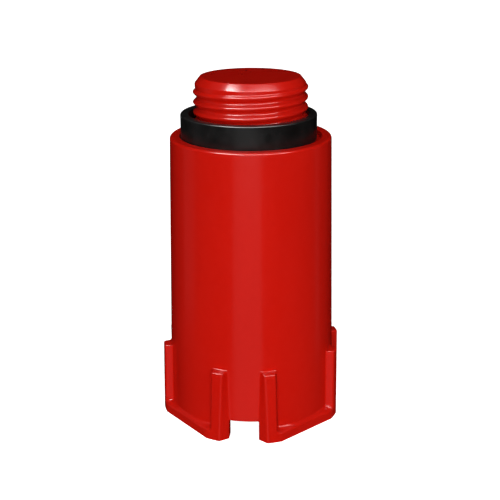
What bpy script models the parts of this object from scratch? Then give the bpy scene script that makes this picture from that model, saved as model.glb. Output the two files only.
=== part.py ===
"""Long blanking plug: a threaded spigot, a sealing ring and a crown base on a hollow tapered body.

Frame: metres, +Z up along the plug's axis, origin at the centre of the face that the plug stands on.
The four slots of the crown base open along +X, -X, +Y and -Y.
"""

import math

import bmesh
import bpy
from mathutils import Matrix, Vector

MM = 0.001

# Spigot: a right-hand G 1/2 parallel pipe thread on a closed end.
THREAD_MAJOR_DIAMETER = 20.955 * MM
THREAD_PITCH = 1.814 * MM
THREAD_DEPTH = 0.65 * MM
THREAD_CREST_WIDTH = 0.3 * MM
THREAD_FLANK_ANGLE = math.radians(40.0)
THREAD_ROOTING = 0.2 * MM
FIRST_CREST_DROP = 2.36 * MM
SPIGOT_LENGTH = 10.75 * MM
END_CHAMFER_WIDTH = 0.94 * MM
END_CHAMFER_HEIGHT = 1.19 * MM
END_LAND_DEPTH = 0.38 * MM
END_LAND_HEIGHT = 0.7 * MM
RUN_OUT_DROP = 0.15 * MM
NECK_LENGTH = 1.6 * MM

# Sealing ring: it leans to one side of its seat, on the shoulder round the spigot.
SEAL_OFFSET = 0.35 * MM
SEAL_THREAD_CLEARANCE = 0.27 * MM
SEAL_WALL = 1.42 * MM
SEAL_PROUD_HEIGHT = 4.08 * MM
SEAL_EDGE_ROUNDING = 0.3 * MM
SEAL_FLOOR_GAP = 0.3 * MM
SEAT_SIDE_CLEARANCE = 0.2 * MM
SEAT_DEPTH = 1.0 * MM

# Body: a tapered tube, closed at the shoulder except for the bore of the spigot.
BODY_LENGTH = 54.8 * MM
BODY_DRAFT = math.radians(1.475)
SHOULDER_RIM = 1.82 * MM
SHOULDER_CHAMFER = 0.4 * MM
BODY_WALL = 2.4 * MM
SHOULDER_WALL = 2.6 * MM
SPIGOT_WALL = 2.3 * MM
END_WALL = 2.5 * MM
BORE_SHOULDER_RISE = 1.2 * MM

# Crown base: four slots, a rib on each side of every slot, and a flange with four wrench flats.
SLOT_WIDTH = 5.55 * MM
SLOT_HEIGHT = 3.75 * MM
FLAT_STAND = 0.29 * MM
FLANGE_HEIGHT = 1.9 * MM
RIB_STAND = 1.52 * MM
RIB_HEIGHT = 14.0 * MM
RIB_FOOT_STEP = 0.1 * MM
RIB_FOOT_LEAN = 0.17 * MM
RIB_FLANK_BASE = 1.65 * MM
RIB_FLANK_TOP = 0.82 * MM
RIB_WIDTH_BASE = 1.8 * MM
RIB_WIDTH_TOP = 2.08 * MM
CROWN_ROOTING = 1.6 * MM

BODY_STEPS = 72
THREAD_STEPS_PER_TURN = 48
SEAL_STEPS = 72
CORNER_STEPS = 3
# Facet edges of pieces that a Boolean joins are turned apart, so that none coincide.
RIDGE_TURN = math.radians(1.2)
ENVELOPE_TURN = math.radians(2.5)
CUTTER_MARGIN = 2.0 * MM
BASE_ALLOWANCE = 1.0 * MM
MERGE_DISTANCE = 0.00005

RED_PLASTIC = (0.58, 0.014, 0.008, 1.0)
BLACK_RUBBER = (0.012, 0.011, 0.011, 1.0)

# Heights and radii that follow from the sizes above.
THREAD_RADIUS = THREAD_MAJOR_DIAMETER / 2
ROOT_RADIUS = THREAD_RADIUS - THREAD_DEPTH
LAND_RADIUS = THREAD_RADIUS - END_LAND_DEPTH
END_HEIGHT = BODY_LENGTH + SPIGOT_LENGTH
LAND_TOP = END_HEIGHT - END_CHAMFER_HEIGHT
LAND_BOTTOM = LAND_TOP - END_LAND_HEIGHT
SEAL_INNER_RADIUS = THREAD_RADIUS + SEAL_THREAD_CLEARANCE + SEAL_OFFSET
SEAL_OUTER_RADIUS = SEAL_INNER_RADIUS + SEAL_WALL
SEAT_RADIUS = SEAL_OUTER_RADIUS + SEAL_OFFSET + SEAT_SIDE_CLEARANCE
SEAT_FLOOR = BODY_LENGTH - SEAT_DEPTH
SEAL_BOTTOM = SEAT_FLOOR + SEAL_FLOOR_GAP
SEAL_TOP = BODY_LENGTH + SEAL_PROUD_HEIGHT
SHOULDER_RADIUS = SEAT_RADIUS + SHOULDER_RIM
DRAFT_SLOPE = math.tan(BODY_DRAFT)
BASE_RADIUS = SHOULDER_RADIUS + BODY_LENGTH * DRAFT_SLOPE
CROWN_RADIUS = BASE_RADIUS + RIB_STAND


def body_radius(height):
    """Outside radius of the tapered body at a height above the base."""
    return BASE_RADIUS - height * DRAFT_SLOPE


def crown_radius(height):
    """Radius of the ribs' outer faces, which keep the body's draft."""
    return CROWN_RADIUS - height * DRAFT_SLOPE


def clear_scene():
    """Removes every object that the scene starts with."""
    for obj in list(bpy.data.objects):
        bpy.data.objects.remove(obj)


def new_collection(name, rendered):
    """Adds a collection to the scene."""
    collection = bpy.data.collections.new(name)
    collection.hide_render = not rendered
    bpy.context.scene.collection.children.link(collection)
    return collection


def plastic(name, color, roughness):
    """Makes a Principled material without metal."""
    material = bpy.data.materials.new(name)
    material.use_nodes = True
    shader = material.node_tree.nodes["Principled BSDF"]
    shader.inputs["Base Color"].default_value = color
    shader.inputs["Roughness"].default_value = roughness
    shader.inputs["Metallic"].default_value = 0.0
    return material


def add_object(name, mesh, collection, helper=False):
    """Links a new object; a helper only cuts or joins others and isn't drawn."""
    obj = bpy.data.objects.new(name, mesh)
    collection.objects.link(obj)
    if helper:
        obj.hide_render = True
        obj.display_type = "WIRE"
    return obj


def mesh_from(name, bm):
    """Turns a bmesh into a mesh and frees it."""
    mesh = bpy.data.meshes.new(name)
    bm.to_mesh(mesh)
    bm.free()
    return mesh


def lathe(name, profile, steps, collection, closed=False, helper=False):
    """Turns a profile of (radius, height) points about Z with a Screw modifier."""
    bm = bmesh.new()
    points = [bm.verts.new((radius, 0.0, height)) for radius, height in profile]
    for first, second in zip(points, points[1:]):
        bm.edges.new((first, second))
    if closed:
        bm.edges.new((points[-1], points[0]))
    obj = add_object(name, mesh_from(name, bm), collection, helper)
    screw = obj.modifiers.new("turn", "SCREW")
    screw.axis = "Z"
    screw.angle = 2 * math.pi
    screw.steps = steps
    screw.render_steps = steps
    screw.use_merge_vertices = True
    screw.merge_threshold = MERGE_DISTANCE
    screw.use_smooth_shade = False
    return obj


def loft(name, lower, upper, bottom, top, collection):
    """Closes a solid between two outlines of as many (x, y) points, at two heights."""
    bm = bmesh.new()
    start = bm.faces.new([bm.verts.new((x, y, bottom)) for x, y in lower])
    raised = bmesh.ops.extrude_face_region(bm, geom=[start])["geom"]
    moved = [item for item in raised if isinstance(item, bmesh.types.BMVert)]
    for vertex in moved:
        nearest = min(range(len(lower)), key=lambda i: (vertex.co.xy - Vector(lower[i])).length)
        vertex.co = Vector((*upper[nearest], top))
    # The sides are twisted, so they are split the same way on the left as on the right.
    bmesh.ops.triangulate(bm, faces=bm.faces, quad_method="SHORT_EDGE")
    bmesh.ops.recalc_face_normals(bm, faces=bm.faces)
    return add_object(name, mesh_from(name, bm), collection, helper=True)


def block(name, size, centre, collection, turn=0.0):
    """A box of a given size, turned about Z."""
    bm = bmesh.new()
    bmesh.ops.create_cube(bm, size=1.0, matrix=Matrix.Diagonal((*size, 1.0)))
    obj = add_object(name, mesh_from(name, bm), collection, helper=True)
    obj.location = centre
    obj.rotation_euler = (0.0, 0.0, turn)
    return obj


def boolean(obj, operation, other):
    """Adds a Boolean modifier with one object or a whole collection as its operand."""
    modifier = obj.modifiers.new(operation.lower() + " " + other.name, "BOOLEAN")
    modifier.operation = operation
    modifier.solver = "EXACT"
    if isinstance(other, bpy.types.Collection):
        modifier.operand_type = "COLLECTION"
        modifier.collection = other
    else:
        modifier.object = other


def corner(centre, radius, first, last):
    """Points on a quarter arc, from one angle to another in degrees."""
    angles = [math.radians(first + (last - first) * i / CORNER_STEPS) for i in range(CORNER_STEPS + 1)]
    return [(centre[0] + radius * math.cos(a), centre[1] + radius * math.sin(a)) for a in angles]


def body_profile():
    """The hollow plug without its thread and crown, from the end's centre down and back up inside."""
    spigot_bore = ROOT_RADIUS - SPIGOT_WALL
    bore_top = BODY_LENGTH - SEAT_DEPTH - SHOULDER_WALL - BORE_SHOULDER_RISE
    return [
        (0.0, END_HEIGHT),
        (LAND_RADIUS - END_CHAMFER_WIDTH, END_HEIGHT),
        (LAND_RADIUS, LAND_TOP),
        (LAND_RADIUS, LAND_BOTTOM),
        (ROOT_RADIUS, LAND_BOTTOM - END_LAND_DEPTH),
        (ROOT_RADIUS, SEAT_FLOOR),
        (SEAT_RADIUS, SEAT_FLOOR),
        (SEAT_RADIUS, BODY_LENGTH),
        (SHOULDER_RADIUS - SHOULDER_CHAMFER, BODY_LENGTH),
        (body_radius(BODY_LENGTH - SHOULDER_CHAMFER), BODY_LENGTH - SHOULDER_CHAMFER),
        (body_radius(-BASE_ALLOWANCE), -BASE_ALLOWANCE),
        (body_radius(-BASE_ALLOWANCE) - BODY_WALL, -BASE_ALLOWANCE),
        (body_radius(bore_top) - BODY_WALL, bore_top),
        (spigot_bore, bore_top + BORE_SHOULDER_RISE),
        (spigot_bore, END_HEIGHT - END_WALL),
        (0.0, END_HEIGHT - END_WALL),
    ]


def add_thread_ridge(collection):
    """A helical ridge, swept past the end and trimmed to the end chamfer's cone."""
    foot_radius = ROOT_RADIUS - THREAD_ROOTING
    half_crest = THREAD_CREST_WIDTH / 2
    half_foot = half_crest + (THREAD_RADIUS - foot_radius) * math.tan(THREAD_FLANK_ANGLE)
    # The first crest is set on the -Y side, a quarter turn behind the section's start at +X.
    start = SEAT_FLOOR + NECK_LENGTH
    first_crest = END_HEIGHT - FIRST_CREST_DROP + THREAD_PITCH / 4
    turns = math.ceil((first_crest - start) / THREAD_PITCH)
    low = first_crest - turns * THREAD_PITCH
    bm = bmesh.new()
    section = [
        (foot_radius, low - half_foot),
        (foot_radius, low + half_foot),
        (THREAD_RADIUS, low + half_crest),
        (THREAD_RADIUS, low - half_crest),
    ]
    face = bm.faces.new([bm.verts.new((radius, 0.0, height)) for radius, height in section])
    steps = THREAD_STEPS_PER_TURN * (turns + 1)
    step_angle = 2 * math.pi / THREAD_STEPS_PER_TURN
    bmesh.ops.spin(
        bm,
        geom=[face],
        axis=(0.0, 0.0, 1.0),
        cent=(0.0, 0.0, 0.0),
        dvec=(0.0, 0.0, THREAD_PITCH / THREAD_STEPS_PER_TURN),
        angle=step_angle * steps,
        steps=steps,
    )
    bmesh.ops.recalc_face_normals(bm, faces=bm.faces)
    bmesh.ops.rotate(bm, verts=bm.verts, cent=(0.0, 0.0, 0.0), matrix=Matrix.Rotation(RIDGE_TURN, 3, "Z"))
    ridge = add_object("thread_ridge", mesh_from("thread_ridge", bm), collection, helper=True)
    # The envelope clears the crest, and its cone sinks the thread's run-out into the land.
    cone_slope = END_CHAMFER_WIDTH / END_CHAMFER_HEIGHT
    outside = THREAD_RADIUS + CUTTER_MARGIN
    inside = LAND_RADIUS - END_LAND_DEPTH
    run_out = LAND_TOP - RUN_OUT_DROP
    envelope = lathe(
        "thread_envelope",
        [
            (0.0, run_out + (LAND_RADIUS - inside) / cone_slope),
            (inside, run_out + (LAND_RADIUS - inside) / cone_slope),
            (outside, run_out - (outside - LAND_RADIUS) / cone_slope),
            (outside, SEAT_FLOOR - CUTTER_MARGIN),
            (0.0, SEAT_FLOOR - CUTTER_MARGIN),
        ],
        BODY_STEPS,
        collection,
        helper=True,
    )
    envelope.rotation_euler = (0.0, 0.0, ENVELOPE_TURN)
    boolean(ridge, "INTERSECT", envelope)
    return ridge


def channel_half_widths(height_share, height):
    """Half widths of the gap between a slot's two ribs: at the body's surface and at the ribs' outer faces."""
    foot = SLOT_WIDTH / 2 + RIB_FOOT_STEP + RIB_FOOT_LEAN * height_share
    flank = RIB_FLANK_BASE + (RIB_FLANK_TOP - RIB_FLANK_BASE) * height_share
    surface = (foot, math.sqrt(body_radius(height) ** 2 - foot**2))
    outer = (foot + flank, math.sqrt(crown_radius(height) ** 2 - (foot + flank) ** 2))
    return surface, outer


def channel_outline(height_share, height):
    """The gap between a slot's ribs in plan, opening towards -Y, carried past both of its ends."""
    (foot, surface), (mouth, outer) = channel_half_widths(height_share, height)
    lean = (mouth - foot) / (outer - surface)
    inside = surface - CROWN_ROOTING
    outside = outer + CUTTER_MARGIN
    narrow = foot + lean * (inside - surface)
    wide = foot + lean * (outside - surface)
    return [(-narrow, -inside), (-wide, -outside), (wide, -outside), (narrow, -inside)]


def rib_bar(name, turn, collection):
    """A tapered bar right across the plug, as wide as a slot and its two ribs."""
    reach = CROWN_RADIUS + CUTTER_MARGIN
    half_base = SLOT_WIDTH / 2 + RIB_FOOT_STEP + RIB_FLANK_BASE + RIB_WIDTH_BASE
    half_top = SLOT_WIDTH / 2 + RIB_FOOT_STEP + RIB_FOOT_LEAN + RIB_FLANK_TOP + RIB_WIDTH_TOP
    half_below = half_base + (half_base - half_top) * CUTTER_MARGIN / RIB_HEIGHT
    outlines = [[(-half, -reach), (half, -reach), (half, reach), (-half, reach)] for half in (half_below, half_top)]
    bar = loft(name, outlines[0], outlines[1], -CUTTER_MARGIN, RIB_HEIGHT, collection)
    bar.rotation_euler = (0.0, 0.0, turn)
    return bar


def add_crown(collection, channels):
    """The flange with its flats and the eight ribs, as one ring rooted in the body's wall."""
    flat_distance = BASE_RADIUS + FLAT_STAND
    flange_depth = FLANGE_HEIGHT + 2 * CUTTER_MARGIN
    flange = block(
        "flange_block",
        (2 * flat_distance, 2 * flat_distance, flange_depth),
        (0.0, 0.0, FLANGE_HEIGHT - flange_depth / 2),
        collection,
        turn=math.pi / 4,
    )
    for name, turn in (("rib_bar_y", 0.0), ("rib_bar_x", math.pi / 2)):
        boolean(flange, "UNION", rib_bar(name, turn, collection))
    top = RIB_HEIGHT + CUTTER_MARGIN
    bottom = -1.5 * BASE_ALLOWANCE
    crown = lathe(
        "crown_ring",
        [
            (crown_radius(top), top),
            (crown_radius(bottom), bottom),
            (body_radius(bottom) - CROWN_ROOTING, bottom),
            (body_radius(top) - CROWN_ROOTING, top),
        ],
        BODY_STEPS,
        collection,
        closed=True,
        helper=True,
    )
    boolean(crown, "INTERSECT", flange)
    share_above = 1 + CUTTER_MARGIN / RIB_HEIGHT
    share_below = -CUTTER_MARGIN / RIB_HEIGHT
    lower = channel_outline(share_below, share_below * RIB_HEIGHT)
    upper = channel_outline(share_above, share_above * RIB_HEIGHT)
    for quarter in range(4):
        channel = loft(
            f"rib_channel_{quarter + 1}",
            lower,
            upper,
            share_below * RIB_HEIGHT,
            share_above * RIB_HEIGHT,
            channels,
        )
        channel.rotation_euler = (0.0, 0.0, quarter * math.pi / 2)
    boolean(crown, "DIFFERENCE", channels)
    return crown


def add_slots(slots):
    """Two bars across the base, which cut its four slots."""
    length = 2 * (CROWN_RADIUS + CUTTER_MARGIN)
    height = SLOT_HEIGHT + CUTTER_MARGIN
    centre = (0.0, 0.0, SLOT_HEIGHT - height / 2)
    block("slot_bar_x", (length, SLOT_WIDTH, height), centre, slots)
    block("slot_bar_y", (SLOT_WIDTH, length, height), centre, slots)


def add_plug_body(parts, cutters, channels, slots):
    """The red moulding."""
    body = lathe("plug_body", body_profile(), BODY_STEPS, parts)
    boolean(body, "UNION", add_thread_ridge(cutters))
    boolean(body, "UNION", add_crown(cutters, channels))
    width = 2 * (CROWN_RADIUS + CUTTER_MARGIN)
    depth = 3 * CUTTER_MARGIN
    below = block("below_base", (width, width, depth), (0.0, 0.0, -depth / 2), cutters)
    boolean(body, "DIFFERENCE", below)
    add_slots(slots)
    boolean(body, "DIFFERENCE", slots)
    body.data.materials.append(plastic("red_plastic", RED_PLASTIC, 0.38))
    return body


def add_sealing_ring(parts):
    """The rubber ring, with its origin on the line along which it slides off the spigot."""
    height = SEAL_TOP - SEAL_BOTTOM
    rounding = SEAL_EDGE_ROUNDING
    inner = SEAL_INNER_RADIUS + rounding
    outer = SEAL_OUTER_RADIUS - rounding
    profile = (
        corner((outer, height - rounding), rounding, 90, 0)
        + corner((outer, rounding), rounding, 0, -90)
        + corner((inner, rounding), rounding, -90, -180)
        + corner((inner, height - rounding), rounding, 180, 90)
    )
    ring = lathe("sealing_ring", profile, SEAL_STEPS, parts, closed=True)
    ring.location = (-SEAL_OFFSET, 0.0, SEAL_BOTTOM)
    ring.data.materials.append(plastic("black_rubber", BLACK_RUBBER, 0.55))
    return ring


def main():
    clear_scene()
    parts = new_collection("blanking_plug", rendered=True)
    cutters = new_collection("cutters", rendered=False)
    channels = new_collection("rib_channels", rendered=False)
    slots = new_collection("slots", rendered=False)
    frame = bpy.data.objects.new("plug_frame", None)
    parts.objects.link(frame)
    for piece in (add_plug_body(parts, cutters, channels, slots), add_sealing_ring(parts)):
        piece.parent = frame


main()
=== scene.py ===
"""Looks of a long blanking plug: a red moulding with a threaded spigot, and its black sealing ring.

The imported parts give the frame: metres, +Z up along the plug's axis, the plug standing on z = 0.
"""

import logging
import math
from dataclasses import dataclass
from enum import Enum

import bmesh
import bpy
from mathutils import Matrix, Vector


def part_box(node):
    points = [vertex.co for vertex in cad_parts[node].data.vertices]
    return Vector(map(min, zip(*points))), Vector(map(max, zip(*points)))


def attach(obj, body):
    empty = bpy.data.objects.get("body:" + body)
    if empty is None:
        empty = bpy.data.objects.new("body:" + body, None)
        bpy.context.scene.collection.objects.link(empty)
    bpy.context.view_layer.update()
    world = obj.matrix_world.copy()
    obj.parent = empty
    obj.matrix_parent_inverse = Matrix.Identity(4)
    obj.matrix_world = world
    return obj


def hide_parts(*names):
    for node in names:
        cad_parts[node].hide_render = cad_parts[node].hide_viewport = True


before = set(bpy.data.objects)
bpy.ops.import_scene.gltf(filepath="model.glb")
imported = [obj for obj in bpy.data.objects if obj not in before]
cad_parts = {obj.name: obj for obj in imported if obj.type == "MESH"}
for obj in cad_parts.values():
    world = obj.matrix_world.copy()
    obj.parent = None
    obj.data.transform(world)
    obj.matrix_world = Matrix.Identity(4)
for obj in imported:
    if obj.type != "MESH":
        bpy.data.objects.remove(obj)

LOG = logging.getLogger("blanking_plug")
MM = 0.001
FULL_TURN = 2 * math.pi
SLOTS = 4
HALF_REPEAT = math.pi / SLOTS
WELD_DISTANCE = 0.002 * MM

Point = tuple[float, float]
Socket = bpy.types.NodeSocket
Value = float | int | Vector | Socket


class Body(Enum):
    """The bodies that the pieces ride on."""

    PLUG = "plug"
    SEAL = "seal"


class Slot(Enum):
    """The record's material slots."""

    RED_PLASTIC = "red_plastic"
    BLACK_RUBBER = "black_rubber"


# ---------------------------------------------------------------- node trees


class GeometryTree:
    """A Geometry Nodes tree with named inputs, built one node at a time."""

    def __init__(self, name: str) -> None:
        """Starts an empty tree.

        Args:
            name: The tree's name.
        """
        self.tree = bpy.data.node_groups.new(name, "GeometryNodeTree")
        self.tree.is_modifier = True
        face = self.tree.interface
        face.new_socket("Geometry", in_out="INPUT", socket_type="NodeSocketGeometry")
        face.new_socket("Geometry", in_out="OUTPUT", socket_type="NodeSocketGeometry")
        self.entry = self.tree.nodes.new("NodeGroupInput")
        self.exit = self.tree.nodes.new("NodeGroupOutput")
        self.identifiers: dict[str, str] = {}

    def input(self, name: str, kind: str = "Float") -> Socket:
        """Adds a named input.

        Args:
            name: The input's name.
            kind: The socket's kind, such as Float, Int or Material.

        Returns:
            The socket that carries the input's value inside the tree.
        """
        item = self.tree.interface.new_socket(name, in_out="INPUT", socket_type="NodeSocket" + kind)
        self.identifiers[name] = item.identifier
        return self.entry.outputs[name]

    def node(self, kind: str, **settings: object) -> bpy.types.Node:
        """Adds a node and sets its options.

        Args:
            kind: The node's type.
            **settings: Options of the node, by attribute.

        Returns:
            The new node.
        """
        node = self.tree.nodes.new(kind)
        for name, value in settings.items():
            setattr(node, name, value)
        return node

    def feed(self, socket: Socket, value: Value) -> None:
        """Links a socket to another one, or gives it a constant."""
        if isinstance(value, Socket):
            self.tree.links.new(value, socket)
        else:
            socket.default_value = value

    def math(self, operation: str, *values: Value) -> Socket:
        """Adds a Math node.

        Args:
            operation: The node's operation.
            *values: One to three operands.

        Returns:
            The result's socket.
        """
        node = self.node("ShaderNodeMath", operation=operation)
        for socket, value in zip(node.inputs, values):
            self.feed(socket, value)
        return node.outputs[0]

    def smooth_step(self, value: Value, start: Value, end: Value) -> Socket:
        """Adds a Map Range node that rises smoothly from 0 at start to 1 at end."""
        node = self.node("ShaderNodeMapRange", interpolation_type="SMOOTHSTEP")
        for name, operand in (("Value", value), ("From Min", start), ("From Max", end)):
            self.feed(node.inputs[name], operand)
        return node.outputs[0]

    def choose(self, condition: Socket, otherwise: Value, chosen: Value) -> Socket:
        """Adds a Switch between two numbers; chosen is used where the condition holds."""
        node = self.node("GeometryNodeSwitch", input_type="FLOAT")
        for name, value in (("Switch", condition), ("False", otherwise), ("True", chosen)):
            self.feed(node.inputs[name], value)
        return node.outputs[0]

    def finish(self, geometry: Socket, material: Socket) -> None:
        """Ends the tree in Realize Instances and Set Material."""
        realize = self.node("GeometryNodeRealizeInstances")
        dress = self.node("GeometryNodeSetMaterial")
        self.feed(realize.inputs["Geometry"], geometry)
        self.feed(dress.inputs["Geometry"], realize.outputs[0])
        self.feed(dress.inputs["Material"], material)
        self.feed(self.exit.inputs["Geometry"], dress.outputs[0])

    def run(self, values: dict[str, object], source: bpy.types.Mesh | None = None) -> bpy.types.Mesh:
        """Evaluates the tree on a mesh.

        Args:
            values: The value of each named input.
            source: The mesh that enters the tree, or nothing.

        Returns:
            The result as a plain mesh.
        """
        name = self.tree.name
        carrier = bpy.data.objects.new(name, source or bpy.data.meshes.new(name))
        bpy.context.scene.collection.objects.link(carrier)
        modifier = carrier.modifiers.new(name, "NODES")
        modifier.node_group = self.tree
        for label, value in values.items():
            modifier[self.identifiers[label]] = value
        mesh = plain_mesh(carrier)
        bpy.data.objects.remove(carrier)
        return mesh


def plain_mesh(obj: bpy.types.Object) -> bpy.types.Mesh:
    """Returns a new mesh of the object with all its modifiers applied."""
    graph = bpy.context.evaluated_depsgraph_get()
    return bpy.data.meshes.new_from_object(obj.evaluated_get(graph), depsgraph=graph)


# ---------------------------------------------------------------- finishes


class Shader:
    """A material's node tree, with short calls for the nodes that the finishes share."""

    def __init__(self, name: str) -> None:
        """Starts a Principled material that reads Object coordinates.

        Args:
            name: The material's name.
        """
        self.material = bpy.data.materials.new(name)
        self.material.use_nodes = True
        self.tree = self.material.node_tree
        self.surface = self.tree.nodes["Principled BSDF"]
        self.place = self.tree.nodes.new("ShaderNodeTexCoord").outputs["Object"]

    def feed(self, socket: Socket, value: Value) -> None:
        """Links a socket to another one, or gives it a constant."""
        if isinstance(value, Socket):
            self.tree.links.new(value, socket)
        else:
            socket.default_value = value

    def noise(self, size: float, detail: float, stretch: Point = (1.0, 1.0)) -> Socket:
        """Adds noise whose lumps are about as large as size.

        Args:
            size: The lumps' size, in metres.
            detail: The noise's levels of detail.
            stretch: How much the pattern is squeezed across and along the axis.

        Returns:
            The noise, about 0.5 on average.
        """
        mapping = self.tree.nodes.new("ShaderNodeMapping")
        mapping.inputs["Scale"].default_value = (stretch[0] / size, stretch[0] / size, stretch[1] / size)
        self.feed(mapping.inputs["Vector"], self.place)
        noise = self.tree.nodes.new("ShaderNodeTexNoise")
        noise.inputs["Scale"].default_value = 1.0
        noise.inputs["Detail"].default_value = detail
        self.feed(noise.inputs["Vector"], mapping.outputs[0])
        return noise.outputs[0]

    def spread(self, value: Socket, low: float, high: float, start: float = 0.3, end: float = 0.7) -> Socket:
        """Adds a Map Range node.

        Args:
            value: What is mapped.
            low: The result at start.
            high: The result at end.
            start: The value that gives low.
            end: The value that gives high.

        Returns:
            The mapped value, held between low and high.
        """
        node = self.tree.nodes.new("ShaderNodeMapRange")
        for name, number in (("From Min", start), ("From Max", end), ("To Min", low), ("To Max", high)):
            node.inputs[name].default_value = number
        self.feed(node.inputs["Value"], value)
        return node.outputs[0]

    def math(self, operation: str, *values: Value) -> Socket:
        """Adds a Math node and returns its result."""
        node = self.tree.nodes.new("ShaderNodeMath")
        node.operation = operation
        for socket, value in zip(node.inputs, values):
            self.feed(socket, value)
        return node.outputs[0]

    def blend(self, factor: Value, first: Value, second: Value) -> Socket:
        """Mixes two colours and returns the mixture."""
        node = self.tree.nodes.new("ShaderNodeMix")
        node.data_type = "RGBA"
        self.feed(node.inputs["Factor"], factor)
        self.feed(node.inputs["A"], first)
        self.feed(node.inputs["B"], second)
        return node.outputs["Result"]

    def relief(self, height: Socket, depth: float, below: Socket | None = None) -> Socket:
        """Adds a Bump node.

        Args:
            height: The pattern, from 0 to 1.
            depth: The pattern's real depth, in metres.
            below: The normal of a coarser relief that this one lies on.

        Returns:
            The changed normal.
        """
        node = self.tree.nodes.new("ShaderNodeBump")
        node.inputs["Strength"].default_value = 1.0
        node.inputs["Distance"].default_value = depth
        self.feed(node.inputs["Height"], height)
        if below is not None:
            self.feed(node.inputs["Normal"], below)
        return node.outputs[0]


@dataclass(frozen=True)
class MouldedPlastic:
    """Pigmented thermoplastic: a satin moulded skin, with flow clouds and a gloss that is rubbed in random
    patches.
    """

    name: str = "red_plastic"
    pigment: tuple[float, float, float, float] = (0.57, 0.0056, 0.0014, 1.0)
    thin_pigment: tuple[float, float, float, float] = (0.61, 0.0072, 0.0022, 1.0)
    cloud_size: float = 9.0 * MM
    fleck_size: float = 1.2 * MM
    ripple_size: float = 4.5 * MM
    ripple_depth: float = 0.003 * MM
    polish: float = 0.17
    haze: float = 0.21
    specular: float = 0.34
    refraction: float = 1.49

    def make(self) -> bpy.types.Material:
        """Builds the material."""
        shader = Shader(self.name)
        surface = shader.surface
        clouds = shader.noise(self.cloud_size, 3.0, (1.0, 0.35))
        flecks = shader.noise(self.fleck_size, 2.0)
        mottle = shader.math("ADD", shader.spread(clouds, 0.0, 0.75), shader.spread(flecks, 0.0, 0.25))
        shader.feed(surface.inputs["Base Color"], shader.blend(mottle, self.pigment, self.thin_pigment))
        rubbed = shader.noise(self.fleck_size * 2, 4.0)
        shader.feed(surface.inputs["Roughness"], shader.spread(rubbed, self.polish, self.haze))
        surface.inputs["Specular IOR Level"].default_value = self.specular
        surface.inputs["IOR"].default_value = self.refraction
        ripple = shader.relief(shader.noise(self.ripple_size, 1.0, (1.0, 0.5)), self.ripple_depth)
        shader.feed(surface.inputs["Normal"], ripple)
        return shader.material


@dataclass(frozen=True)
class MouldedRubber:
    """Black elastomer: nearly matt, with a fine grain and a trace of grey bloom."""

    name: str = "black_rubber"
    carbon: tuple[float, float, float, float] = (0.0022, 0.0021, 0.0021, 1.0)
    bloom: tuple[float, float, float, float] = (0.0046, 0.0044, 0.0042, 1.0)
    bloom_size: float = 5.0 * MM
    grain_size: float = 0.22 * MM
    grain_depth: float = 0.004 * MM
    drag_size: float = 1.2 * MM
    drag_depth: float = 0.004 * MM
    sheen_low: float = 0.31
    sheen_high: float = 0.42
    specular: float = 0.62

    def make(self) -> bpy.types.Material:
        """Builds the material."""
        shader = Shader(self.name)
        surface = shader.surface
        clouds = shader.noise(self.bloom_size, 4.0, (1.0, 0.6))
        tint = shader.blend(shader.spread(clouds, 0.0, 1.0), self.carbon, self.bloom)
        shader.feed(surface.inputs["Base Color"], tint)
        patches = shader.noise(self.bloom_size / 3, 3.0)
        shader.feed(surface.inputs["Roughness"], shader.spread(patches, self.sheen_low, self.sheen_high))
        surface.inputs["Specular IOR Level"].default_value = self.specular
        drag = shader.relief(shader.noise(self.drag_size, 2.0, (0.25, 2.5)), self.drag_depth)
        grain = shader.relief(shader.noise(self.grain_size, 3.0), self.grain_depth, drag)
        shader.feed(surface.inputs["Normal"], grain)
        return shader.material


@dataclass(frozen=True)
class StudioPaper:
    """The white surface that the plug stands on, which glows so that it hardly takes a shadow."""

    name: str = "studio_paper"
    albedo: tuple[float, float, float, float] = (0.86, 0.86, 0.86, 1.0)
    roughness: float = 0.9
    glow: float = 1.0

    def make(self) -> bpy.types.Material:
        """Builds the material."""
        shader = Shader(self.name)
        surface = shader.surface
        surface.inputs["Base Color"].default_value = self.albedo
        surface.inputs["Roughness"].default_value = self.roughness
        surface.inputs["Emission Color"].default_value = (1.0, 1.0, 1.0, 1.0)
        surface.inputs["Emission Strength"].default_value = self.glow
        return shader.material


# ---------------------------------------------------------------- mesh helpers


def linear(first: float, last: float, steps: int) -> list[float]:
    """Returns steps + 1 evenly spaced numbers, both ends included."""
    return [first + (last - first) * i / steps for i in range(steps + 1)]


def rounded(profile: list[Point], radii: dict[int, float], steps: int = 4) -> list[Point]:
    """Replaces corners of an open profile by arcs.

    Args:
        profile: The profile's (radius, height) points.
        radii: The arc's radius for each corner that is rounded, by its index.
        steps: How many stretches an arc has.

    Returns:
        The profile with its arcs.
    """
    result: list[Point] = []
    for index, point in enumerate(profile):
        if index not in radii:
            result.append(point)
            continue
        here = Vector(point)
        before = (Vector(profile[index - 1]) - here).normalized()
        after = (Vector(profile[index + 1]) - here).normalized()
        half = before.angle(after) / 2
        reach = radii[index] / math.tan(half)
        centre = here + (before + after).normalized() * (radii[index] / math.sin(half))
        start = here + before * reach - centre
        end = here + after * reach - centre
        sweep = start.angle_signed(end)
        for angle in linear(0.0, -sweep, steps):
            turned = Matrix.Rotation(angle, 2) @ start
            result.append(tuple(centre + turned))
    return result


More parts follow.
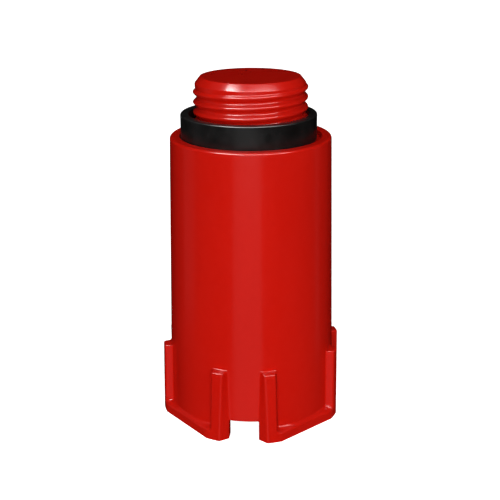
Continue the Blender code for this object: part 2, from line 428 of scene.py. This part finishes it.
def rings(bm: bmesh.types.BMesh, loop: list[bmesh.types.BMVert], profile: list[Point]) -> None:
    """Carries a level round rim on along a profile, and closes it where the profile meets the axis.

    Args:
        bm: The mesh that holds the rim.
        loop: The rim's vertices in order.
        profile: The (radius, height) points that follow the rim's own.
    """
    directions = [Vector((v.co.x, v.co.y)).normalized() for v in loop]
    count = len(loop)
    for radius, height in profile:
        if radius == 0.0:
            pole = bm.verts.new((0.0, 0.0, height))
            for i in range(count):
                bm.faces.new((loop[i], loop[(i + 1) % count], pole))
            return
        raised = [bm.verts.new((d.x * radius, d.y * radius, height)) for d in directions]
        for i in range(count):
            j = (i + 1) % count
            bm.faces.new((loop[i], loop[j], raised[j], raised[i]))
        loop = raised


def rim_at(bm: bmesh.types.BMesh, height: float) -> list[bmesh.types.BMVert]:
    """Finds the open rim at a height and returns its vertices counter-clockwise."""
    found = {v for e in bm.edges if e.is_boundary for v in e.verts if abs(v.co.z - height) < WELD_DISTANCE}
    return sorted(found, key=lambda v: math.atan2(v.co.y, v.co.x))


def new_object(name: str, mesh: bpy.types.Mesh) -> bpy.types.Object:
    """Links a new object that holds the mesh, and returns it."""
    obj = bpy.data.objects.new(name, mesh)
    bpy.context.scene.collection.objects.link(obj)
    return obj


def mesh_of(name: str, bm: bmesh.types.BMesh) -> bpy.types.Mesh:
    """Turns a bmesh into a mesh, frees it and returns the mesh."""
    mesh = bpy.data.meshes.new(name)
    bm.to_mesh(mesh)
    bm.free()
    return mesh


# ---------------------------------------------------------------- the red moulding


@dataclass
class SpigotThread:
    """The closed spigot: a right-hand pipe thread with rounded crests and roots."""

    foot_height: float
    end_height: float
    major_radius: float = 10.4775 * MM
    pitch: float = 1.814 * MM
    depth: float = 0.65 * MM
    flank_angle: float = math.radians(45.0)
    rounding: float = 0.31 * MM
    first_crest_drop: float = 2.36 * MM
    land_depth: float = 0.38 * MM
    land_height: float = 0.7 * MM
    fade_height: float = 0.45 * MM
    chamfer_width: float = 0.94 * MM
    chamfer_height: float = 1.19 * MM
    run_out_drop: float = 0.15 * MM
    neck_height: float = 0.7 * MM
    neck_fade: float = 1.1 * MM
    edge_rounding: float = 0.2 * MM
    face_shares: tuple[float, ...] = (0.85, 0.6, 0.35, 0.15)
    columns: int = 168
    rows_per_pitch: int = 22

    @property
    def root_radius(self) -> float:
        """Radius at the bottom of the grooves."""
        return self.major_radius - self.depth

    @property
    def land_radius(self) -> float:
        """Radius of the plain band under the end chamfer."""
        return self.major_radius - self.land_depth

    @property
    def land_top(self) -> float:
        """Height at which the end chamfer starts."""
        return self.end_height - self.chamfer_height

    def tree(self) -> GeometryTree:
        """Builds the tree of the threaded surface, a grid whose rows follow the helix."""
        tree = GeometryTree("spigot_thread")
        foot = tree.input("Foot height")
        top = tree.input("Top height")
        pitch = tree.input("Pitch")
        root = tree.input("Root radius")
        crest = tree.input("Crest radius")
        land = tree.input("Land radius")
        rounding = tree.input("Rounding")
        flank_angle = tree.input("Flank angle")
        lowest_crest = tree.input("Lowest crest")
        turns = tree.input("Turns")
        neck_low = tree.input("Neck start")
        neck_high = tree.input("Neck end")
        land_low = tree.input("Land start")
        land_high = tree.input("Land end")
        cone_height = tree.input("Cone height")
        cone_slope = tree.input("Cone slope")
        columns = tree.input("Columns", "Int")
        rows = tree.input("Rows", "Int")
        weld = tree.input("Weld distance")
        material = tree.input("Material", "Material")

        grid = tree.node("GeometryNodeMeshGrid")
        tree.feed(grid.inputs["Vertices X"], tree.math("ADD", columns, 1.0))
        tree.feed(grid.inputs["Vertices Y"], tree.math("ADD", rows, 1.0))
        place = tree.node("ShaderNodeSeparateXYZ")
        tree.feed(place.inputs[0], tree.node("GeometryNodeInputPosition").outputs[0])
        turn = tree.math("ADD", place.outputs["X"], 0.5)
        climb = tree.math("MULTIPLY", tree.math("ADD", place.outputs["Y"], 0.5), turns)
        height = tree.math("MULTIPLY_ADD", tree.math("ADD", climb, turn), pitch, lowest_crest)
        height = tree.math("MINIMUM", tree.math("MAXIMUM", height, foot), top)

        # Distance from the nearest crest's middle, along the axis.
        share = tree.math("SUBTRACT", tree.math("FRACT", tree.math("ADD", climb, 0.5)), 0.5)
        off_crest = tree.math("MULTIPLY", tree.math("ABSOLUTE", share), pitch)
        off_root = tree.math("SUBTRACT", tree.math("MULTIPLY", pitch, 0.5), off_crest)
        square = tree.math("MULTIPLY", rounding, rounding)
        crest_square = tree.math("SUBTRACT", square, tree.math("MULTIPLY", off_crest, off_crest))
        root_square = tree.math("SUBTRACT", square, tree.math("MULTIPLY", off_root, off_root))
        crest_rise, root_rise = tree.math("SQRT", crest_square), tree.math("SQRT", root_square)
        crest_arc = tree.math("ADD", tree.math("SUBTRACT", crest, rounding), crest_rise)
        root_arc = tree.math("SUBTRACT", tree.math("ADD", root, rounding), root_rise)
        middle = tree.math("MULTIPLY", tree.math("ADD", root, crest), 0.5)
        beyond = tree.math("SUBTRACT", tree.math("MULTIPLY", pitch, 0.25), off_crest)
        flank = tree.math("ADD", middle, tree.math("DIVIDE", beyond, tree.math("TANGENT", flank_angle)))
        reach = tree.math("MULTIPLY", rounding, tree.math("COSINE", flank_angle))
        on_crest = tree.math("LESS_THAN", off_crest, reach)
        on_root = tree.math("LESS_THAN", off_root, reach)
        radius = tree.choose(on_root, tree.choose(on_crest, flank, crest_arc), root_arc)

        # The ridge rises out of the plain neck, and the end cone cuts it down to the land.
        neck = tree.smooth_step(height, neck_low, neck_high)
        radius = tree.math("MULTIPLY_ADD", tree.math("SUBTRACT", radius, root), neck, root)
        cone = tree.math("MULTIPLY_ADD", tree.math("SUBTRACT", cone_height, height), cone_slope, land)
        radius = tree.math("MINIMUM", radius, cone)
        fill = tree.smooth_step(height, land_low, land_high)
        floor = tree.math("MULTIPLY_ADD", tree.math("SUBTRACT", land, root), fill, root)
        radius = tree.math("MAXIMUM", radius, floor)

        angle = tree.math("MULTIPLY", turn, FULL_TURN)
        spot = tree.node("ShaderNodeCombineXYZ")
        tree.feed(spot.inputs["X"], tree.math("MULTIPLY", radius, tree.math("COSINE", angle)))
        tree.feed(spot.inputs["Y"], tree.math("MULTIPLY", radius, tree.math("SINE", angle)))
        tree.feed(spot.inputs["Z"], height)
        bend = tree.node("GeometryNodeSetPosition")
        tree.feed(bend.inputs["Geometry"], grid.outputs["Mesh"])
        tree.feed(bend.inputs["Position"], spot.outputs[0])
        close = tree.node("GeometryNodeMergeByDistance")
        tree.feed(close.inputs["Geometry"], bend.outputs[0])
        tree.feed(close.inputs["Distance"], weld)
        tree.finish(close.outputs[0], material)
        return tree

    def build(self, finish: bpy.types.Material) -> bmesh.types.BMesh:
        """Makes the outside of the spigot, open only at its foot.

        Args:
            finish: The material that the surface takes.

        Returns:
            The surface as a bmesh.
        """
        top = self.land_top - self.run_out_drop
        # The first crest is set on the -Y side, a quarter turn behind the grid's seam at +X.
        first_crest = self.end_height - self.first_crest_drop + self.pitch / 4
        turns_below = math.ceil((first_crest - self.foot_height) / self.pitch) + 1
        lowest = first_crest - turns_below * self.pitch
        turns = math.ceil((top - lowest) / self.pitch)
        mesh = self.tree().run(
            {
                "Foot height": self.foot_height,
                "Top height": top,
                "Pitch": self.pitch,
                "Root radius": self.root_radius,
                "Crest radius": self.major_radius,
                "Land radius": self.land_radius,
                "Rounding": self.rounding,
                "Flank angle": self.flank_angle,
                "Lowest crest": lowest,
                "Turns": float(turns),
                "Neck start": self.foot_height + self.neck_height,
                "Neck end": self.foot_height + self.neck_height + self.neck_fade,
                "Land start": self.land_top - self.land_height - self.fade_height,
                "Land end": self.land_top - self.land_height,
                "Cone height": top,
                "Cone slope": self.chamfer_width / self.chamfer_height,
                "Columns": self.columns,
                "Rows": turns * self.rows_per_pitch,
                "Weld distance": WELD_DISTANCE,
                "Material": finish,
            }
        )
        bm = bmesh.new()
        bm.from_mesh(mesh)
        bmesh.ops.remove_doubles(bm, verts=bm.verts, dist=WELD_DISTANCE)
        bmesh.ops.dissolve_degenerate(bm, edges=bm.edges, dist=WELD_DISTANCE / 2)
        face_radius = self.land_radius - self.chamfer_width
        profile = rounded(
            [
                (self.land_radius, top),
                (self.land_radius, self.land_top),
                (face_radius, self.end_height),
                (0.0, self.end_height),
            ],
            {1: self.edge_rounding, 2: self.edge_rounding},
        )
        middle = [(face_radius * share, self.end_height) for share in self.face_shares]
        rings(bm, rim_at(bm, top), profile[1:-1] + middle + profile[-1:])
        return bm


@dataclass
class CrownShell:
    """The hollow tapered body with its seat, bore, slots, ribs and flange."""

    top_height: float
    crown_stand: float = 1.52 * MM
    draft: float = math.tan(math.radians(1.475))
    flat_stand: float = 0.29 * MM
    slot_width: float = 5.55 * MM
    slot_height: float = 3.75 * MM
    rib_height: float = 14.0 * MM
    foot_spread: float = 0.27 * MM
    flank_base: float = 1.75 * MM
    flank_top: float = 0.82 * MM
    rib_base: float = 1.8 * MM
    rib_top: float = 2.08 * MM
    wall: float = 2.4 * MM
    seat_radius: float = 13.0675 * MM
    shoulder_rim: float = 1.82 * MM
    shoulder_rounding: float = 0.55 * MM
    shoulder_share: float = 0.9
    seat_rim_rounding: float = 0.12 * MM
    seat_floor_rounding: float = 0.15 * MM
    rounding_steps: int = 6
    seat_depth: float = 1.0 * MM
    shoulder_wall: float = 2.6 * MM
    bore_step: float = 1.2 * MM
    spigot_bore: float = 7.5275 * MM
    end_wall: float = 2.5 * MM
    bore_ring_share: float = 0.5
    ledge_low: float = 1.55 * MM
    ledge_high: float = 2.65 * MM
    ledge_rows: int = 8
    edge_width: float = 0.3 * MM
    edge_segments: int = 3
    sharp_angle: float = math.radians(30)
    fillet_share: float = 0.9
    edge_share: float = 0.7
    base_share: float = 0.2
    slot_columns: int = 5
    flank_columns: int = 3
    rib_columns: int = 5
    panel_columns: int = 9
    rib_rows: int = 9
    body_rows: int = 12

    def body_radius(self, height: float) -> float:
        """Outside radius of the tapered body at a height."""
        return self.seat_radius + self.shoulder_rim + (self.top_height - height) * self.draft

    def crown_radius(self, height: float) -> float:
        """Radius of the ribs' outer faces at a height."""
        return self.body_radius(height) + self.crown_stand

    def stations(self, height: float) -> tuple[float, float, float]:
        """Distances of a rib's edges from the middle plane of its slot.

        Args:
            height: The height above the base; above the rib the top's distances hold.

        Returns:
            The foot of the sloping flank, that flank's outer edge, and the rib's far side.
        """
        share = min(height / self.rib_height, 1.0)
        span = self.rib_height - self.slot_height
        rise = max(0.0, (min(height, self.rib_height) - self.slot_height) / span)
        foot = self.slot_width / 2 + self.foot_spread * rise
        mouth_base = self.slot_width / 2 + self.flank_base
        mouth_top = self.slot_width / 2 + self.foot_spread + self.flank_top
        mouth = mouth_base + (mouth_top - mouth_base) * share
        side = mouth_base + self.rib_base + (mouth_top + self.rib_top - mouth_base - self.rib_base) * share
        return foot, mouth, side

    def outline(self, height: float, level: str) -> list[Point]:
        """Half of the outer outline round one slot, from its middle to the middle of the next panel.

        Args:
            height: The outline's height.
            level: "flange" where the panel is flat, "rib" where only ribs stand proud, or "plain".

        Returns:
            Points (sideways, outwards) from the axis.
        """
        inner = self.body_radius(height)
        outer = self.crown_radius(height)
        foot, mouth, side = self.stations(height)
        proud = inner if level == "plain" else outer

        def on(radius: float, sideways: float) -> Point:
            """The point of a circle at a distance from the slot's middle plane."""
            return sideways, math.sqrt(radius**2 - sideways**2)

        points = [on(inner, u) for u in linear(0.0, foot, self.slot_columns)]
        start, end = Vector(on(inner, foot)), Vector(on(proud, mouth))
        if level == "plain":
            flank = [on(inner, u) for u in linear(foot, mouth, self.flank_columns)]
        else:
            flank = [tuple(start.lerp(end, i / self.flank_columns)) for i in range(self.flank_columns + 1)]
        points += flank[1:]
        points += [on(proud, u) for u in linear(mouth, side, self.rib_columns)][1:]
        if level == "flange":
            # The flange's corner lies where the flat meets the ribs' circle.
            turn = HALF_REPEAT - math.acos((self.body_radius(0.0) + self.flat_stand) / outer)
            corner = outer * math.sin(turn), outer * math.cos(turn)
            points.append(corner)
            across = Vector((corner[1], corner[0]))
            halfway = (Vector(corner) + across) / 2
            steps = range(1, self.panel_columns + 1)
            points += [tuple(Vector(corner).lerp(halfway, i / self.panel_columns)) for i in steps]
            return points
        points.append(on(inner, side))
        first = math.asin(side / inner)
        angles = linear(first, HALF_REPEAT, self.panel_columns)[1:]
        points += [(inner * math.sin(a), inner * math.cos(a)) for a in angles]
        return points

    def inner_outline(self, radius: float, height: float) -> list[Point]:
        """Half of the bore's outline, with as many points as the outer one has."""
        foot = self.stations(height)[0]
        points = [(u, math.sqrt(radius**2 - u**2)) for u in linear(0.0, foot, self.slot_columns)]
        rest = self.flank_columns + self.rib_columns + 1 + self.panel_columns
        for angle in linear(math.asin(foot / radius), HALF_REPEAT, rest)[1:]:
            points.append((radius * math.sin(angle), radius * math.cos(angle)))
        return points

    def outer_levels(self) -> list[list[Vector]]:
        """Rows of the outside, from the base up to the shoulder's edge, as 3-D points."""
        def row(height: float, level: str) -> list[Vector]:
            """An outline as 3-D points, with the slot opening towards -Y."""
            return [Vector((u, -v, height)) for u, v in self.outline(height, level)]

        # The panel draws back softly from the flange to the body, while the ribs run on upwards.
        rows = [row(0.0, "flange")]
        for share in linear(0.0, 1.0, self.ledge_rows):
            height = self.ledge_low + (self.ledge_high - self.ledge_low) * share
            eased = share * share * (3 - 2 * share)
            pairs = zip(row(height, "flange"), row(height, "rib"))
            rows.append([first.lerp(second, eased) for first, second in pairs])
        rows.append(row(self.slot_height, "rib"))
        rows += [row(z, "rib") for z in linear(self.slot_height, self.rib_height, self.rib_rows)[1:]]
        # The ribs' tops: the rib points step back to the body at the same height.
        rows.append(row(self.rib_height, "plain"))
        edge = self.top_height - self.shoulder_rounding
        rows += [row(z, "plain") for z in linear(self.rib_height, edge, self.body_rows)[1:]]
        return rows

    def inner_levels(self) -> list[list[Vector]]:
        """Rows of the inside: the base and the slot's roof, then up the bore to the spigot's closed end."""
        bore_top = self.top_height - self.seat_depth - self.shoulder_wall - self.bore_step
        profile = [(self.body_radius(z) - self.wall, z) for z in (0.0, self.slot_height)]
        heights = linear(self.slot_height, bore_top, self.body_rows)[1:]
        profile += [(self.body_radius(z) - self.wall, z) for z in heights]
        profile.append((self.spigot_bore, bore_top + self.bore_step))
        return [[Vector((u, -v, z)) for u, v in self.inner_outline(r, z)] for r, z in profile]

    def eighth(self) -> bpy.types.Mesh:
        """Makes an eighth of the shell: half of one slot, one rib and half of a panel."""
        bm = bmesh.new()
        outer = [[bm.verts.new(p) for p in row] for row in self.outer_levels()]
        inner = [[bm.verts.new(p) for p in row] for row in self.inner_levels()]
        columns = len(outer[0]) - 1
        slot_row = self.ledge_rows + 2

        def panel(first: list[bmesh.types.BMVert], second: list[bmesh.types.BMVert], start: int) -> None:
            """Fills between two rows, from a column on."""
            for i in range(start, columns):
                bm.faces.new((first[i], first[i + 1], second[i + 1], second[i]))

        for j in range(len(outer) - 1):
            panel(outer[j], outer[j + 1], self.slot_columns if j < slot_row else 0)
        for j in range(len(inner) - 1):
            panel(inner[j + 1], inner[j], self.slot_columns if j < 1 else 0)
        panel(inner[0], outer[0], self.slot_columns)
        for i in range(self.slot_columns):
            bm.faces.new((inner[1][i], inner[1][i + 1], outer[slot_row][i + 1], outer[slot_row][i]))
        edge = self.slot_columns
        wall = [inner[0][edge], inner[1][edge]] + [outer[j][edge] for j in range(slot_row, -1, -1)]
        bm.faces.new(wall)
        bmesh.ops.remove_doubles(bm, verts=bm.verts, dist=WELD_DISTANCE)
        bmesh.ops.dissolve_degenerate(bm, edges=bm.edges, dist=WELD_DISTANCE)
        return mesh_of("shell_eighth", bm)

    def tree(self) -> GeometryTree:
        """Builds the tree that mirrors an eighth of the shell and repeats it round the axis."""
        tree = GeometryTree("crown_pattern")
        count = tree.input("Repeats", "Int")
        weld = tree.input("Weld distance")
        material = tree.input("Material", "Material")
        mirror = tree.node("GeometryNodeTransform")
        mirror.inputs["Scale"].default_value = (-1.0, 1.0, 1.0)
        flip = tree.node("GeometryNodeFlipFaces")
        pair = tree.node("GeometryNodeJoinGeometry")
        tree.feed(mirror.inputs["Geometry"], tree.entry.outputs["Geometry"])
        tree.feed(flip.inputs["Mesh"], mirror.outputs[0])
        tree.feed(pair.inputs[0], tree.entry.outputs["Geometry"])
        tree.feed(pair.inputs[0], flip.outputs[0])
        points = tree.node("GeometryNodePoints")
        tree.feed(points.inputs["Count"], count)
        step = tree.math("DIVIDE", FULL_TURN, count)
        turn = tree.math("MULTIPLY", tree.node("GeometryNodeInputIndex").outputs[0], step)
        rotation = tree.node("ShaderNodeCombineXYZ")
        tree.feed(rotation.inputs["Z"], turn)
        copies = tree.node("GeometryNodeInstanceOnPoints")
        tree.feed(copies.inputs["Points"], points.outputs[0])
        tree.feed(copies.inputs["Instance"], pair.outputs[0])
        tree.feed(copies.inputs["Rotation"], rotation.outputs[0])
        realize = tree.node("GeometryNodeRealizeInstances")
        tree.feed(realize.inputs["Geometry"], copies.outputs[0])
        close = tree.node("GeometryNodeMergeByDistance")
        tree.feed(close.inputs["Geometry"], realize.outputs[0])
        tree.feed(close.inputs["Distance"], weld)
        tree.finish(close.outputs[0], material)
        return tree

    def build(self, finish: bpy.types.Material, neck_radius: float, end_height: float) -> bmesh.types.BMesh:
        """Makes the whole shell with its edges rounded, open only where the spigot's outside starts.

        Args:
            finish: The material that the surface takes.
            neck_radius: The radius at which the spigot meets the floor of the seat.
            end_height: The height of the plug's closed end.

        Returns:
            The shell as a bmesh.
        """
        values = {"Repeats": SLOTS, "Weld distance": WELD_DISTANCE, "Material": finish}
        mesh = self.tree().run(values, self.eighth())
        bm = bmesh.new()
        bm.from_mesh(mesh)
        floor = self.top_height - self.seat_depth
        edge = self.top_height - self.shoulder_rounding
        profile = rounded(
            [
                (self.body_radius(edge), edge),
                (self.body_radius(self.top_height), self.top_height),
                (self.seat_radius, self.top_height),
                (self.seat_radius, floor),
                (neck_radius, floor),
            ],
            {
                1: self.shoulder_rounding * self.shoulder_share,
                2: self.seat_rim_rounding,
                3: self.seat_floor_rounding,
            },
            steps=self.rounding_steps,
        )
        rings(bm, rim_at(bm, edge), profile[1:])
        bore_end = end_height - self.end_wall
        closing = [(self.spigot_bore, z) for z in linear(floor, bore_end, 2)]
        closing += [(self.spigot_bore * self.bore_ring_share, bore_end), (0.0, bore_end)]
        bore_rim = rim_at(bm, floor - self.shoulder_wall)
        rings(bm, bore_rim, closing)
        bmesh.ops.recalc_face_normals(bm, faces=bm.faces)
        self.weigh_edges(bm)
        carrier = new_object("crown_shell", mesh_of("crown_shell", bm))
        bevel = carrier.modifiers.new("round", "BEVEL")
        bevel.limit_method = "WEIGHT"
        bevel.width = self.edge_width
        bevel.segments = self.edge_segments
        bevel.use_clamp_overlap = False
        result = bmesh.new()
        result.from_mesh(plain_mesh(carrier))
        bpy.data.objects.remove(carrier)
        return result

    def weigh_edges(self, bm: bmesh.types.BMesh) -> None:
        """Marks the edges that are rounded: hollow corners fully, and outer edges a little less."""
        weights = bm.edges.layers.float.new("bevel_weight_edge")
        for edge in bm.edges:
            if not edge.is_manifold:
                continue
            low, high = sorted(v.co.z for v in edge.verts)
            in_ledge = low > self.ledge_low / 2 and high < self.ledge_high + WELD_DISTANCE
            level = high - low < WELD_DISTANCE
            round_top = low > self.top_height - self.shoulder_rounding - WELD_DISTANCE
            if round_top or (in_ledge and level):
                continue
            angle = edge.calc_face_angle_signed()
            if abs(angle) < self.sharp_angle:
                continue
            edge[weights] = self.edge_share if angle > 0 else self.fillet_share
            if high < WELD_DISTANCE:
                edge[weights] = self.base_share


@dataclass
class RedMoulding:
    """The plug itself: shell, crown and threaded spigot in one closed skin."""

    finish: MouldedPlastic
    spigot_length: float = 10.75 * MM
    neck_fillet: float = 0.3 * MM

    def build(self) -> bpy.types.Object:
        """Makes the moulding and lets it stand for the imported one."""
        _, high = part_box("plug_body")
        material = self.finish.make()
        end_height = high.z
        top_height = end_height - self.spigot_length
        shell = CrownShell(top_height=top_height)
        floor = top_height - shell.seat_depth
        spigot = SpigotThread(foot_height=floor + self.neck_fillet, end_height=end_height)
        skin = shell.build(material, spigot.root_radius + self.neck_fillet, end_height)
        outside = spigot.build(material)
        part = mesh_of("spigot_outside", outside)
        skin.from_mesh(part)
        lower, upper = rim_at(skin, floor), rim_at(skin, spigot.foot_height)
        edges = [e for e in skin.edges if e.is_boundary]
        LOG.info("rims to join: %d and %d vertices, %d edges", len(lower), len(upper), len(edges))
        bmesh.ops.bridge_loops(skin, edges=edges)
        bmesh.ops.recalc_face_normals(skin, faces=skin.faces)
        open_edges = sum(not e.is_manifold for e in skin.edges)
        LOG.info("red moulding: %d faces, %d open edges", len(skin.faces), open_edges)
        obj = new_object("red_moulding", mesh_of("red_moulding", skin))
        obj.data.materials.clear()
        obj.data.materials.append(material)
        obj.data.shade_smooth()
        weighted = obj.modifiers.new("even_shading", "WEIGHTED_NORMAL")
        weighted.weight = 60
        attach(obj, Body.PLUG.value)
        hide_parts("plug_body")
        return obj


# ---------------------------------------------------------------- the sealing ring


@dataclass
class SealingRing:
    """The loose rubber ring: a rectangular section with rounded edges, slightly uneven."""

    finish: MouldedRubber
    wall: float = 1.56 * MM
    edge_rounding: float = 0.3 * MM
    unevenness: float = 0.025 * MM
    lump_size: float = 9.0 * MM
    segments: int = 160
    corner_steps: int = 5

    def tree(self) -> GeometryTree:
        """Builds the tree of a ring with a filleted section, swept round a circle."""
        tree = GeometryTree("sealing_ring")
        radius = tree.input("Mean radius")
        wall = tree.input("Wall")
        height = tree.input("Height")
        rounding = tree.input("Edge rounding")
        corner = tree.input("Corner steps", "Int")
        segments = tree.input("Segments", "Int")
        centre = tree.input("Centre", "Vector")
        uneven = tree.input("Unevenness")
        lump = tree.input("Lump size")
        material = tree.input("Material", "Material")
        circle = tree.node("GeometryNodeCurvePrimitiveCircle")
        tree.feed(circle.inputs["Radius"], radius)
        tree.feed(circle.inputs["Resolution"], segments)
        section = tree.node("GeometryNodeCurvePrimitiveQuadrilateral")
        tree.feed(section.inputs["Width"], wall)
        tree.feed(section.inputs["Height"], height)
        fillet = tree.node("GeometryNodeFilletCurve", mode="POLY")
        tree.feed(fillet.inputs["Curve"], section.outputs[0])
        tree.feed(fillet.inputs["Radius"], rounding)
        tree.feed(fillet.inputs["Count"], corner)
        sweep = tree.node("GeometryNodeCurveToMesh")
        tree.feed(sweep.inputs["Curve"], circle.outputs[0])
        tree.feed(sweep.inputs["Profile Curve"], fillet.outputs[0])
        # The rubber is pushed sideways a little by a slow noise, which leaves its height alone.
        noise = tree.node("ShaderNodeTexNoise")
        noise.inputs["Detail"].default_value = 1.0
        scaled = tree.node("ShaderNodeVectorMath", operation="SCALE")
        tree.feed(scaled.inputs[0], tree.node("GeometryNodeInputPosition").outputs[0])
        tree.feed(scaled.inputs["Scale"], tree.math("DIVIDE", 1.0, lump))
        tree.feed(noise.inputs["Vector"], scaled.outputs[0])
        noise.inputs["Scale"].default_value = 1.0
        outwards = tree.node("ShaderNodeVectorMath", operation="MULTIPLY")
        tree.feed(outwards.inputs[0], tree.node("GeometryNodeInputPosition").outputs[0])
        outwards.inputs[1].default_value = (1.0, 1.0, 0.0)
        unit = tree.node("ShaderNodeVectorMath", operation="NORMALIZE")
        tree.feed(unit.inputs[0], outwards.outputs[0])
        push = tree.node("ShaderNodeVectorMath", operation="SCALE")
        tree.feed(push.inputs[0], unit.outputs[0])
        swing = tree.math("SUBTRACT", noise.outputs[0], 0.5)
        tree.feed(push.inputs["Scale"], tree.math("MULTIPLY", swing, uneven))
        total = tree.node("ShaderNodeVectorMath", operation="ADD")
        tree.feed(total.inputs[0], push.outputs[0])
        tree.feed(total.inputs[1], centre)
        move = tree.node("GeometryNodeSetPosition")
        tree.feed(move.inputs["Geometry"], sweep.outputs[0])
        tree.feed(move.inputs["Offset"], total.outputs[0])
        tree.finish(move.outputs[0], material)
        return tree

    def build(self) -> bpy.types.Object:
        """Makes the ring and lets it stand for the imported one."""
        low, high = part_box("sealing_ring")
        centre = (low + high) / 2
        outer = (high.x - low.x) / 2
        material = self.finish.make()
        mesh = self.tree().run(
            {
                "Mean radius": outer - self.wall / 2,
                "Wall": self.wall,
                "Height": high.z - low.z,
                "Edge rounding": self.edge_rounding,
                "Corner steps": self.corner_steps,
                "Segments": self.segments,
                "Centre": tuple(centre),
                "Unevenness": self.unevenness,
                "Lump size": self.lump_size,
                "Material": material,
            }
        )
        bm = bmesh.new()
        bm.from_mesh(mesh)
        bmesh.ops.remove_doubles(bm, verts=bm.verts, dist=WELD_DISTANCE)
        bmesh.ops.recalc_face_normals(bm, faces=bm.faces)
        obj = new_object("rubber_ring", mesh_of("rubber_ring", bm))
        obj.data.materials.clear()
        obj.data.materials.append(material)
        obj.data.shade_smooth()
        weighted = obj.modifiers.new("even_shading", "WEIGHTED_NORMAL")
        weighted.weight = 60
        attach(obj, Body.SEAL.value)
        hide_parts("sealing_ring")
        LOG.info("sealing ring: %d faces", len(obj.data.polygons))
        return obj


# ---------------------------------------------------------------- the studio


@dataclass(frozen=True)
class Softbox:
    """An area light that faces the plug, for its diffuse light, its gloss or both."""

    name: str
    azimuth: float
    elevation: float
    distance: float
    width: float
    height: float
    power: float
    diffuse: bool = True
    glossy: bool = True
    aim_height: float = 0.035

    def build(self) -> bpy.types.Object:
        """Places the light. Azimuth 0 stands on the -Y side and 90 degrees on the +X side."""
        data = bpy.data.lights.new(self.name, "AREA")
        data.shape = "RECTANGLE"
        data.size, data.size_y = self.width, self.height
        data.energy = self.power
        light = bpy.data.objects.new(self.name, data)
        bpy.context.scene.collection.objects.link(light)
        turn, lift = math.radians(self.azimuth), math.radians(self.elevation)
        away = Vector((math.sin(turn) * math.cos(lift), -math.cos(turn) * math.cos(lift), math.sin(lift)))
        light.location = Vector((0.0, 0.0, self.aim_height)) + away * self.distance
        light.rotation_mode = "QUATERNION"
        light.rotation_quaternion = away.to_track_quat("Z", "Y")
        light.visible_camera = False
        light.visible_diffuse = self.diffuse
        light.visible_glossy = self.glossy
        return light


@dataclass
class Studio:
    """The white floor, the softboxes and the camera."""

    paper: StudioPaper
    floor_size: float = 12.0
    floor_gap: float = 0.02 * MM
    camera_place: tuple[float, float, float] = (0.015489, -0.164511, 0.092200)
    camera_target: tuple[float, float, float] = (0.00029154, -0.00548191, 0.03407217)
    camera_roll: float = math.radians(-0.28)
    lens: float = 65.706
    ambient: float = 0.31

    def build(self) -> None:
        """Builds everything round the object."""
        self.add_floor()
        self.add_camera()
        self.add_world()
        for box in (
            Softbox("front_box", 5.0, 12.0, 0.60, 0.40, 0.34, 2.58, glossy=False),
            Softbox("overhead_box", 0.0, 80.0, 0.60, 0.30, 0.30, 0.90, glossy=False),
            Softbox("front_card", 0.0, -20.0, 0.40, 0.26, 0.34, 0.105, diffuse=False),
            Softbox("key_box", -40.0, 52.0, 0.50, 0.22, 0.12, 4.0, diffuse=False),
            Softbox("top_box", 26.0, 52.0, 0.50, 0.60, 0.17, 4.6, diffuse=False),
            Softbox("left_strip", -90.0, 12.0, 0.50, 0.22, 0.70, 0.045, diffuse=False),
            Softbox("right_strip", 109.0, 0.0, 0.50, 0.07, 0.50, 0.008, diffuse=False),
        ):
            box.build()

    def add_floor(self) -> None:
        """Lays the floor, which throws no light on the plug and is left out of its reflections."""
        bm = bmesh.new()
        bmesh.ops.create_grid(bm, x_segments=1, y_segments=1, size=self.floor_size / 2)
        bmesh.ops.translate(bm, verts=bm.verts, vec=(0.0, 0.0, -self.floor_gap))
        floor = new_object("studio_floor", mesh_of("studio_floor", bm))
        floor.data.materials.append(self.paper.make())
        floor.visible_diffuse = False
        floor.visible_glossy = False

    def add_camera(self) -> None:
        """Places the camera a little to the right of the front, looking down."""
        data = bpy.data.cameras.new("camera")
        data.lens = self.lens
        data.clip_start, data.clip_end = 0.01, 20.0
        camera = bpy.data.objects.new("camera", data)
        bpy.context.scene.collection.objects.link(camera)
        place = Vector(self.camera_place)
        look = (Vector(self.camera_target) - place).normalized()
        camera.location = place
        camera.rotation_mode = "QUATERNION"
        upright = look.to_track_quat("-Z", "Y").to_matrix()
        camera.rotation_quaternion = (upright @ Matrix.Rotation(self.camera_roll, 3, "Z")).to_quaternion()
        bpy.context.scene.camera = camera

    def add_world(self) -> None:
        """Gives a dim even light, which the plug's gloss doesn't mirror."""
        world = bpy.data.worlds.new("studio_air")
        bpy.context.scene.world = world
        world.use_nodes = True
        back = world.node_tree.nodes["Background"]
        back.inputs["Color"].default_value = (1.0, 1.0, 1.0, 1.0)
        back.inputs["Strength"].default_value = self.ambient
        world.cycles_visibility.glossy = False
        bpy.context.scene.view_settings.view_transform = "Standard"


def main() -> None:
    """Builds the studio and the two pieces."""
    logging.basicConfig(level=logging.INFO, format="%(name)s: %(message)s")
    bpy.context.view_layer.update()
    Studio(StudioPaper()).build()
    for piece in (RedMoulding(MouldedPlastic()), SealingRing(MouldedRubber())):
        obj = piece.build()
        LOG.info("%s is in place", obj.name)


if __name__ == "__main__":
    main()
